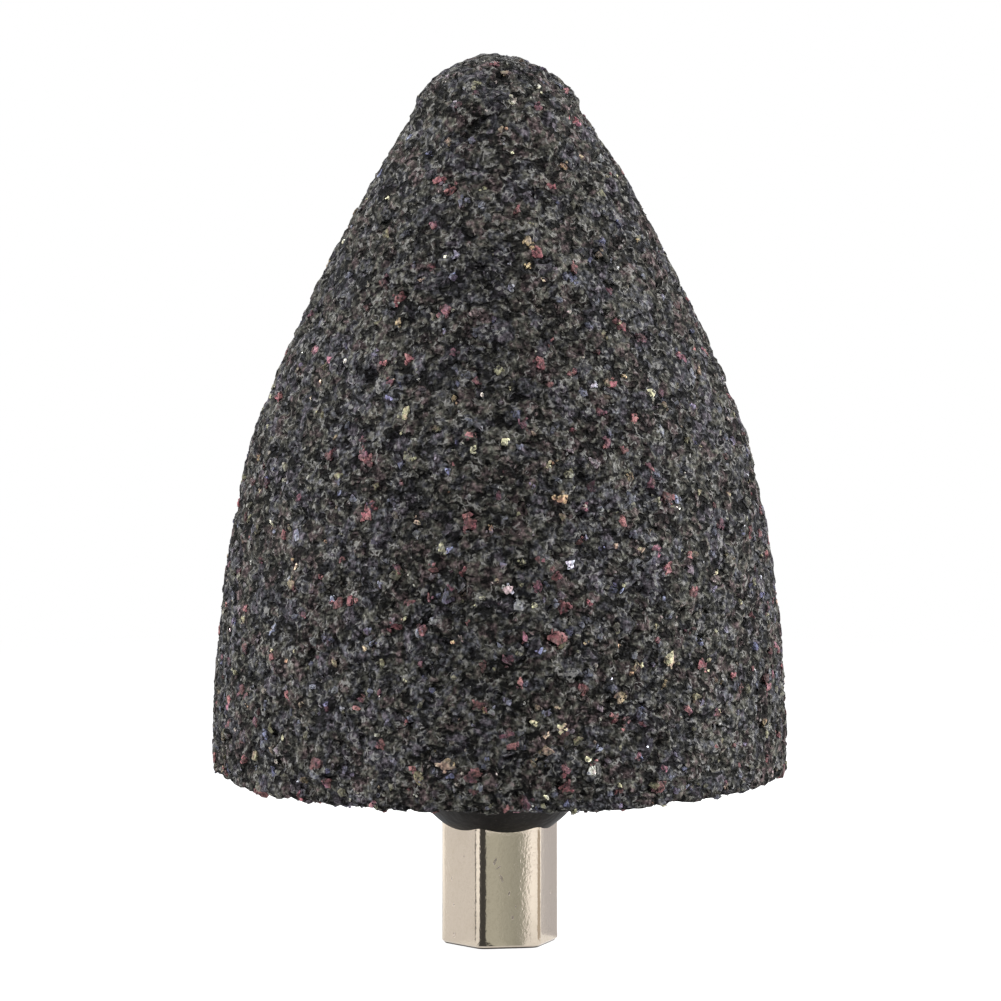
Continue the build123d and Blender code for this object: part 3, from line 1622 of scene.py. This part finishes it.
@dataclass
class AbrasiveCone:
    """The whole abrasive: its bonded body, the dark grains over it and the coloured ones.

    Each coloured grain is a patch: one flat splinter with smaller chips round it.
    """

    form: ConeForm
    azimuth: float
    elevation: float
    relief: Relief = field(default_factory=Relief)
    dark_spacing: float = 0.36
    dark_size: float = 0.56
    size_spread: float = 0.3
    dark_bedding: float = 0.68
    dark_gaps: float = 0.3
    seam_gaps: float = 0.5
    dark_pieces: int = 4
    dark_corners: tuple[int, int] = (6, 8)
    dark_tones: tuple[float, float] = (3.6, 4.0)
    dark_rise: tuple[float, float] = (-0.08, 0.06)
    patch_bedding: float = 0.2
    patch_corners: tuple[int, int] = (9, 12)
    patch_widths: tuple[float, float] = (1.5, 2.4)
    patch_tones: tuple[float, float] = (2.0, 2.5)
    patch_rise: tuple[float, float] = (0.0, 0.06)
    patch_clump_share: float = 0.4
    patch_pit_start: float = 0.55
    patch_speck_spread: float = 1.3
    patch_crumble: Crumble = Crumble(crest_highlight_share=0.12, crack_shade_share=0.5)
    chip_width: float = 0.38
    chip_reach: tuple[float, float] = (0.22, 0.48)
    chip_share: tuple[float, float] = (0.35, 0.6)
    chip_limits: tuple[float, float] = (0.14, 0.5)
    chip_tone: float = 0.2
    chip_rise: tuple[float, float] = (-0.02, 0.06)
    chip_edge: float = 0.6
    clearing: float = 0.42
    accent_growth: float = 1.2
    accent_tones: tuple[float, float] = (0.40, 0.62)
    flat_tilt: float = 0.25
    tumbled: float = 0.75
    thinning: float = 0.8
    seeking_steps: int = 12
    least_height: float = 0.05
    seed: int = 23
    dark_colours: tuple[Colour, ...] = (
        grey(0.0046), (0.0173, 0.0171, 0.0170), (0.0315, 0.0311, 0.0308), (0.050, 0.0493, 0.0485),
        (0.088, 0.0868, 0.0845), (0.165, 0.162, 0.156),
    )

    def build(self) -> None:
        """Makes all its pieces."""
        rng = np.random.default_rng(self.seed)
        AbrasiveSkin(self.form, self.relief).build()
        beds = {grit: self._patches(grit, rng) for grit in Grit}
        self._dark_grains(GrainBed.joined(list(beds.values())), rng)
        stock = ShardStock(*self.patch_corners)
        for grit, bed in beds.items():
            finish = GrainFinish(
                f"{grit.value}_grit", GRITS[grit].colours, pit_start=self.patch_pit_start,
                speck_spread=self.patch_speck_spread, crumble=self.patch_crumble,
            )
            cloud = GrainCloud(
                f"{grit.value}_grains", finish, self.form, self.relief, stock,
                bedding=self.patch_bedding, clump_share=self.patch_clump_share,
            )
            cloud.build(bed, rng)

    def _dark_grains(self, others: GrainBed, rng: np.random.Generator) -> None:
        """Covers the cone with dark grains, except where others lie.

        Args:
            others: the coloured grains.
            rng: the source of chance.
        """
        run, angle = GrainBed.cover(self.form, self.dark_spacing, rng)
        count = len(run)
        bed = GrainBed(
            run, angle, self.dark_size * np.exp(rng.normal(0, self.size_spread, count)),
            rng.beta(*self.dark_tones, count), rng.uniform(*self.dark_rise, count),
            np.full(count, self.tumbled),
        )
        seam, _, _ = self.relief.clumps(self.form.places(run, angle)[0])
        shown = rng.uniform(0, 1, count) > self.dark_gaps + self.seam_gaps * seam
        bed = bed.kept(shown & self._free(bed, others))
        finish = GrainFinish("dark_grit", self.dark_colours)
        stock = ShardStock(*self.dark_corners)
        share = rng.integers(0, self.dark_pieces, len(bed.run))
        for number in range(self.dark_pieces):
            name = f"dark_grains_{number + 1}"
            cloud = GrainCloud(
                name, finish, self.form, self.relief, stock, bedding=self.dark_bedding
            )
            cloud.build(bed.kept(share == number), rng)

    def _free(self, bed: GrainBed, others: GrainBed) -> Array:
        """Finds which grains of a bed have no other kind on their place.

        Args:
            bed: the grains that may have to give way.
            others: the ones that stay.

        Returns:
            A mask over the bed.
        """
        tree = KDTree(len(bed.run))
        for number, spot in enumerate(self.form.places(bed.run, bed.angle)[0].tolist()):
            tree.insert(spot, number)
        tree.balance()
        free = np.ones(len(bed.run), dtype=bool)
        spots = self.form.places(others.run, others.angle)[0]
        for spot, size in zip(spots.tolist(), others.size.tolist()):
            for _, number, _ in tree.find_range(spot, size * self.clearing):
                free[number] = False
        return free

    def _patches(self, grit: Grit, rng: np.random.Generator) -> GrainBed:
        """Lays out one kind of coloured grain: flat splinters with smaller chips round them.

        Args:
            grit: which kind.
            rng: the source of chance.

        Returns:
            Where they lie.
        """
        kind = GRITS[grit]
        run, angle = GrainBed.cover(self.form, 1 / math.sqrt(kind.per_area), rng)
        share = self.form.at(run)[1] - self.form.base_height
        share /= self.form.tip_height - self.form.base_height
        kept = rng.uniform(0, 1, len(run)) > self.thinning * share
        width = kind.least + (kind.most - kind.least) * rng.beta(*self.patch_widths, len(run))
        mine = ACCENTS.get(grit, ())
        seen = np.array([self._seen_at(accent) for accent in mine]).reshape(-1, 2)
        run = np.concatenate([run[kept], seen[:, 0]])
        angle = np.concatenate([angle[kept], seen[:, 1]])
        grown = [accent.width * self.accent_growth for accent in mine]
        width = np.concatenate([width[kept], grown])
        tone = rng.beta(*self.patch_tones, len(run))
        tone[len(run) - len(mine):] = rng.uniform(*self.accent_tones, len(mine))
        main = GrainBed(
            run, angle, width, tone, rng.uniform(*self.patch_rise, len(run)),
            np.full(len(run), self.flat_tilt),
        )
        owner = np.repeat(np.arange(len(run)), np.round(width / self.chip_width).astype(int))
        count = len(owner)
        reach = width[owner] * rng.uniform(*self.chip_reach, count)
        way = rng.uniform(0, TAU, count)
        radius = np.maximum(self.form.at(run)[0], 0.5)[owner]
        chips = GrainBed(
            (run[owner] + reach * np.sin(way)).clip(self.chip_edge, self.form.length),
            angle[owner] + reach * np.cos(way) / radius,
            np.clip(width[owner] * rng.uniform(*self.chip_share, count), *self.chip_limits),
            np.clip(tone[owner] + rng.normal(0, self.chip_tone, count), 0, 1),
            rng.uniform(*self.chip_rise, count), np.full(count, self.tumbled),
        )
        return GrainBed.joined([main, chips])

    def _seen_at(self, accent: Accent) -> tuple[float, float]:
        """Finds where a grain seen from the front lies on the cone.

        Args:
            accent: the grain.

        Returns:
            Its distance along the outline and its angle.
        """
        rise, slant = math.cos(self.elevation), math.sin(self.elevation)
        height = accent.up
        for _ in range(self.seeking_steps):
            radius = self.form.outer_radius(self.form.base_height + height)
            turn = math.asin(max(-1.0, min(1.0, accent.right / radius)))
            seen = (accent.up + radius * math.cos(turn) * slant) / rise
            height = max(self.least_height, seen)
        run = self.form.outer_run(self.form.base_height + height)
        return run, self.azimuth - math.pi / 2 + turn


# Shank and cement


@dataclass
class HexBar:
    """The plated bar: a rounded hexagon in section, with keying grooves in its hidden length."""

    across_flats: float
    top_height: float
    base_height: float
    corner_radius: float = 0.8
    least_corner: float = 0.3
    end_break: float = 0.2
    lead_in: float = 0.8
    groove_heights: tuple[float, ...] = (9.0, 16.5)
    groove_width: float = 1.6
    groove_depth: float = 0.5
    arc_steps: int = 10
    flat_steps: int = 12
    guard: float = 0.03
    hard_angle: float = math.radians(28)
    finish: PlatedFinish = field(default_factory=PlatedFinish)

    def angles(self) -> Array:
        """Angles round the axis that hold each corner's arc and each flat's ends.

        Returns:
            The angles from 0 up.
        """
        flat, sixth = self.across_flats / 2, TAU / 6
        half = (flat - self.corner_radius) * math.tan(sixth / 2)
        start = sixth / 2 - math.atan(half / flat)
        inside = sixth / 2 - math.atan((half - self.guard) / flat)
        arc = np.linspace(0, start, self.arc_steps + 1)
        along = np.linspace(inside, sixth - inside, self.flat_steps + 1)
        part = np.concatenate([arc, along, sixth - arc[:0:-1]])
        return (part[None] + np.arange(6)[:, None] * sixth).ravel()

    def reach(self, angle: Array, inset: float) -> Array:
        """The section's radius at angles round the axis.

        Args:
            angle: the angles.
            inset: how far the whole section is drawn in.

        Returns:
            One radius each.
        """
        flat = self.across_flats / 2 - inset
        corner = max(self.corner_radius - inset, self.least_corner)
        sixth = TAU / 6
        off = np.abs((angle + TAU / 4 + sixth / 2) % sixth - sixth / 2)
        centre = (flat - corner) / math.cos(sixth / 2)
        turn = sixth / 2 - off
        rounded = centre * np.cos(turn) + np.sqrt(
            np.maximum(corner**2 - (centre * np.sin(turn)) ** 2, 0)
        )
        on_flat = np.tan(off) * flat <= (flat - corner) * math.tan(sixth / 2) + TINY * MM
        return np.where(on_flat, flat / np.cos(off), rounded)

    def wall(self, angle: Array) -> list[Array]:
        """The corners of each ring, from the free end up.

        Args:
            angle: the angles round the axis.

        Returns:
            One array of points per ring.
        """
        free, floor = 2 * self.across_flats, self.across_flats / 2 - self.groove_depth
        rows = [(0.0, self.end_break, free), (self.end_break, 0.0, free)]
        for middle in self.groove_heights:
            low = self.base_height + middle - self.groove_width / 2
            high = low + self.groove_width
            rows += [(low, 0.0, free), (low, 0.0, floor), (high, 0.0, floor), (high, 0.0, free)]
        rows += [(self.top_height - self.lead_in, 0.0, free)]
        rows += [(self.top_height, self.lead_in, free)]
        return [
            ring_points(angle, np.minimum(self.reach(angle, inset), most), height)
            for height, inset, most in rows
        ]

    def build(self) -> bpy.types.Object:
        """Makes the bar, which stands for the plain one.

        Returns:
            The new piece.
        """
        angle = self.angles()
        wall = self.wall(angle)
        rings = [pole(0.0), wall[0] * HALFWAY_IN, *wall, wall[-1] * HALFWAY_IN]
        rings.append(pole(self.top_height))
        material = self.finish.material(self.across_flats / 2)
        piece = make_turned("shank_bar", rings, angle, material)
        mark_sharp(piece, self.hard_angle)
        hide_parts("hex_shank")
        return piece


def mark_sharp(piece: bpy.types.Object, limit: float) -> None:
    """Keeps the edges hard where faces meet at more than an angle.

    Args:
        piece: the piece.
        limit: the angle, in radians.
    """
    shape = bmesh.new()
    shape.from_mesh(piece.data)
    for edge in shape.edges:
        edge.smooth = edge.calc_face_angle(math.pi) < limit
    shape.to_mesh(piece.data)
    shape.free()


@dataclass
class CementFill:
    """The cement: a bead under the cone, and the filling of its bore round the bar."""

    bar: HexBar
    form: ConeForm
    foot_height: float
    rim_radius: float
    foot_tuck: float = 0.2
    sag: float = 0.06
    sag_size: float = 1.9
    bead_rings: int = 26
    foot_edge: float = 0.02
    mouth_reach: float = 0.3
    finish: CementFinish = field(default_factory=CementFinish)

    def build(self) -> bpy.types.Object:
        """Makes the cement, which stands for the plain filling.

        Returns:
            The new piece.
        """
        angle = self.bar.angles()
        wall = [ring for ring in self.bar.wall(angle) if ring[0, 2] > self.foot_height]
        foot = self.bar.across_flats / 2 - self.foot_tuck
        rings = [pole(self.bar.top_height), wall[-1] * HALFWAY_IN, *wall[::-1]]
        rings.append(ring_points(angle, foot, self.foot_height + self.foot_edge))
        rings += self._bead(angle, foot)
        for height in (self.form.base_height + self.mouth_reach, self.form.bore_depth):
            rings.append(ring_points(angle, self.form.bore_radius, height))
        rings.append(pole(self.form.bore_point))
        piece = make_turned("cement_bead", rings, angle, self.finish.material())
        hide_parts("bond_collar")
        return piece

    def _bead(self, angle: Array, foot: float) -> list[Array]:
        """The bead's outside, part of a ball with a slightly uneven skin.

        Args:
            angle: the angles round the axis.
            foot: the radius at the bead's foot.

        Returns:
            Its rings from the foot up.
        """
        drop = self.form.base_height - self.foot_height
        rise = (self.rim_radius**2 - foot**2 - drop**2) / (2 * drop)
        ball = math.hypot(self.rim_radius, rise)
        low, high = math.asin(foot / ball), math.atan2(self.rim_radius, rise)
        rings = []
        for lean in np.linspace(low, high, self.bead_rings):
            height = self.form.base_height + rise - ball * math.cos(lean)
            ring = ring_points(angle, ball * math.sin(lean), height)
            share = math.sin(math.pi * (lean - low) / (high - low))
            sag = noise_at(ring, self.sag_size)
            ring[:, :2] *= 1 + (self.sag * share * sag / ball)[:, None]
            rings.append(ring)
        return rings


# Studio


def point_at(
    thing: bpy.types.Object, aim: Vector, azimuth: float, elevation: float, distance: float
) -> None:
    """Places a lamp or the camera, and points it.

    Args:
        thing: the lamp or the camera.
        aim: what it points at.
        azimuth: its side in degrees, from -Y towards +X.
        elevation: how high it stands, in degrees.
        distance: how far it is from its aim.
    """
    a, e = math.radians(azimuth), math.radians(elevation)
    way = Vector((math.sin(a) * math.cos(e), -math.cos(a) * math.cos(e), math.sin(e)))
    thing.location = aim + way * distance
    thing.rotation_euler = way.to_track_quat("Z", "Y").to_euler()


@dataclass(frozen=True)
class SoftLamp:
    """One large soft lamp, aimed at the object's middle."""

    name: str
    azimuth: float
    elevation: float
    distance: float
    width: float
    height: float
    power: float

    def build(self, aim: Vector) -> None:
        """Hangs the lamp.

        Args:
            aim: what it points at.
        """
        made = bpy.data.lights.new(self.name, "AREA")
        made.shape = "RECTANGLE"
        made.size, made.size_y = self.width, self.height
        made.energy = self.power
        lamp = bpy.data.objects.new(self.name, made)
        point_at(lamp, aim, self.azimuth, self.elevation, self.distance)
        bpy.context.scene.collection.objects.link(lamp)


@dataclass(frozen=True)
class Card:
    """A glowing curved card that stands close round the shank and shows only in its polish, as a
    painted reflection.

    Its angles are degrees round the axis, and its other sizes are metres.
    """

    name: str
    start: float
    end: float
    colour: Colour
    high: float = 0.0068
    radius: float = 0.0062
    foot_radius: float = 0.0034
    low: float = 0.0001
    steps: int = 24

    def build(self) -> None:
        """Stands the card up."""
        angle = np.radians(np.linspace(self.start, self.end, self.steps + 1))
        outline = [(self.foot_radius, self.low), (self.radius, self.low), (self.radius, self.high)]
        rows = [ring_points(angle, radius, height) for radius, height in outline]
        mesh = bpy.data.meshes.new(self.name)
        n = self.steps + 1
        starts = [row * n + k for row in range(len(rows) - 1) for k in range(self.steps)]
        faces = [(k, k + 1, n + k + 1, n + k) for k in starts]
        mesh.from_pydata(np.concatenate(rows).tolist(), [], faces)
        card = bpy.data.objects.new(self.name, mesh)
        bpy.context.scene.collection.objects.link(card)
        card.visible_camera = card.visible_diffuse = card.visible_shadow = False
        card.visible_transmission = False
        material = bpy.data.materials.new(self.name)
        book = NodeBook(material)
        book.surface(book.node("ShaderNodeEmission", {}, {"Color": self.colour}))
        mesh.materials.append(material)


@dataclass
class Studio:
    """Pale floor, white surroundings, soft lamps and the camera. Its lengths are metres."""

    azimuth: float = -10.2
    elevation: float = 9.0
    view_width: float = 0.06082
    aim_height: float = 0.0271
    aside: float = 0.00005
    distance: float = 0.6
    ambient: float = 0.145
    floor_radius: float = 0.5
    floor_greys: tuple[float, float] = (0.8, 0.84)
    fleck_size: float = 1.5
    fleck_edges: tuple[float, float] = (0.3, 0.7)
    shadow_share: float = 0.2
    shadow_start: float = 0.03
    shadow_fade: float = 0.09
    lamps: tuple[SoftLamp, ...] = (
        SoftLamp("left_lamp", -99.0, 24.0, 0.42, 0.16, 0.26, 6.9),
        SoftLamp("right_lamp", 80.0, 24.0, 0.42, 0.16, 0.26, 8.2),
        SoftLamp("top_lamp", -8.0, 62.0, 0.45, 0.13, 0.13, 3.1),
        SoftLamp("back_lamp", 172.0, 28.0, 0.45, 0.24, 0.24, 2.3),
    )
    # Glowing cards that give the shank painted reflections.
    cards: tuple[Card, ...] = (
        Card("left_pale", -187.0, -162.0, (0.97, 0.96, 0.96)),
        Card("left_line", -160.0, -151.0, grey(0.08), foot_radius=0.0052),
        Card("left_dark", -130.0, -101.5, grey(0.08), high=0.0088, foot_radius=0.0036),
        Card("front_left", -101.5, -90.0, (0.66, 0.68, 0.61)),
        Card("front_grey", -90.0, -83.0, (0.56, 0.58, 0.52)),
        Card("front_low", -83.0, -76.0, (0.47, 0.49, 0.44)),
        Card("front_pale", -76.0, -74.5, (0.92, 0.91, 0.89)),
        Card("right_line", -40.0, -14.0, (0.60, 0.53, 0.44), foot_radius=0.0052),
        Card("right_grey", 2.0, 26.0, (0.69, 0.68, 0.71)),
        Card("back_left", 104.0, 140.0, (0.52, 0.55, 0.62)),
    )

    def build(self) -> None:
        """Sets up the whole studio."""
        scene = bpy.context.scene
        scene.view_settings.view_transform = "Standard"
        self._camera(scene)
        self._world(scene)
        self._floor(scene)
        for lamp in self.lamps:
            lamp.build(Vector((0.0, 0.0, self.aim_height)))
        for card in self.cards:
            card.build()

    def _camera(self, scene: bpy.types.Scene) -> None:
        """Makes the camera at the photograph's angle.

        Args:
            scene: the scene that it becomes the camera of.
        """
        made = bpy.data.cameras.new("camera")
        made.type = "ORTHO"
        made.ortho_scale = self.view_width
        made.clip_start, made.clip_end = 0.05, 5.0
        camera = bpy.data.objects.new("camera", made)
        turn = math.radians(self.azimuth)
        right = Vector((math.cos(turn), math.sin(turn), 0.0))
        aim = Vector((0.0, 0.0, self.aim_height)) + right * self.aside
        point_at(camera, aim, self.azimuth, self.elevation, self.distance)
        scene.collection.objects.link(camera)
        scene.camera = camera

    @staticmethod
    def _seen_rays(book: NodeBook) -> Socket:
        """1 for what the camera, gloss or glass shows, and 0 for the light on the object.

        Args:
            book: the tree that needs it.

        Returns:
            The mask.
        """
        camera = book.node("ShaderNodeLightPath", output="Is Camera Ray")
        glossy = book.node("ShaderNodeLightPath", output="Is Glossy Ray")
        through = book.node("ShaderNodeLightPath", output="Is Transmission Ray")
        total = camera + glossy + through
        return book.node("ShaderNodeMath", {"operation": "MINIMUM"}, {0: total, 1: 1.0})

    def _world(self, scene: bpy.types.Scene) -> None:
        """Makes the white surroundings.

        Args:
            scene: the scene that gets them.
        """
        world = bpy.data.worlds.new("surroundings")
        scene.world = world
        book = NodeBook(world)
        level = book.mix(self._seen_rays(book), grey(self.ambient), FULL_WHITE)
        book.surface(book.node("ShaderNodeBackground", {}, {"Color": level}))

    def _floor(self, scene: bpy.types.Scene) -> None:
        """Makes the pale floor, which keeps the object's shadow and fades to white.

        Args:
            scene: the scene that it is put in.
        """
        shape = bmesh.new()
        bmesh.ops.create_circle(shape, cap_ends=True, segments=96, radius=self.floor_radius)
        mesh = bpy.data.meshes.new("floor")
        shape.to_mesh(mesh)
        shape.free()
        floor = bpy.data.objects.new("floor", mesh)
        scene.collection.objects.link(floor)
        material = bpy.data.materials.new("pale_floor")
        book = NodeBook(material)
        place = book.node("ShaderNodeTexCoord", output="Object")
        away = book.vector("LENGTH", place, output="Value")
        near = 1 - away.above(self.shadow_start, self.shadow_fade)
        fleck = book.noise(book.place(), self.fleck_size, 3.0)
        paint = book.ramp(fleck, list(zip(self.fleck_edges, map(grey, self.floor_greys))))
        plain = book.node("ShaderNodeBsdfDiffuse", {}, {"Color": paint})
        white = book.node("ShaderNodeEmission", {}, {"Color": FULL_WHITE, "Strength": 1.0})
        share = self._seen_rays(book) * (1 - near * self.shadow_share)
        shader = book.node("ShaderNodeMixShader", {}, {0: share, 1: plain, 2: white})
        book.surface(shader)
        mesh.materials.append(material)


def corner_sizes(node: str) -> tuple[Vector, Vector]:
    """A node's lowest and highest corners, in millimetres."""
    low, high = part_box(node)
    return low / MM, high / MM


def main() -> None:
    """Builds the studio and the object's pieces from the imported parts' boxes."""
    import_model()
    studio = Studio()
    studio.build()
    cone_low, cone_high = corner_sizes("abrasive_cone")
    bead_low, bead_high = corner_sizes("bond_collar")
    bar_low, bar_high = corner_sizes("hex_shank")
    form = ConeForm(
        base_height=cone_low.z, tip_height=cone_high.z, radius=CONE_DIAMETER / 2,
        bore_radius=(bar_high.x - bar_low.x) / 2 + CEMENT_GAP,
        bore_depth=bar_high.z + CEMENT_FLOOR, bore_point=bead_high.z,
    )
    AbrasiveCone(form, math.radians(studio.azimuth), math.radians(studio.elevation)).build()
    bar = HexBar(
        across_flats=bar_high.y - bar_low.y, top_height=bar_high.z, base_height=cone_low.z
    )
    bar.build()
    CementFill(
        bar=bar, form=form, foot_height=bead_low.z, rim_radius=(bead_high.x - bead_low.x) / 2
    ).build()
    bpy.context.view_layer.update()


if __name__ == "__main__":
    logging.basicConfig(level=logging.INFO, format="%(name)s: %(message)s")
    main()
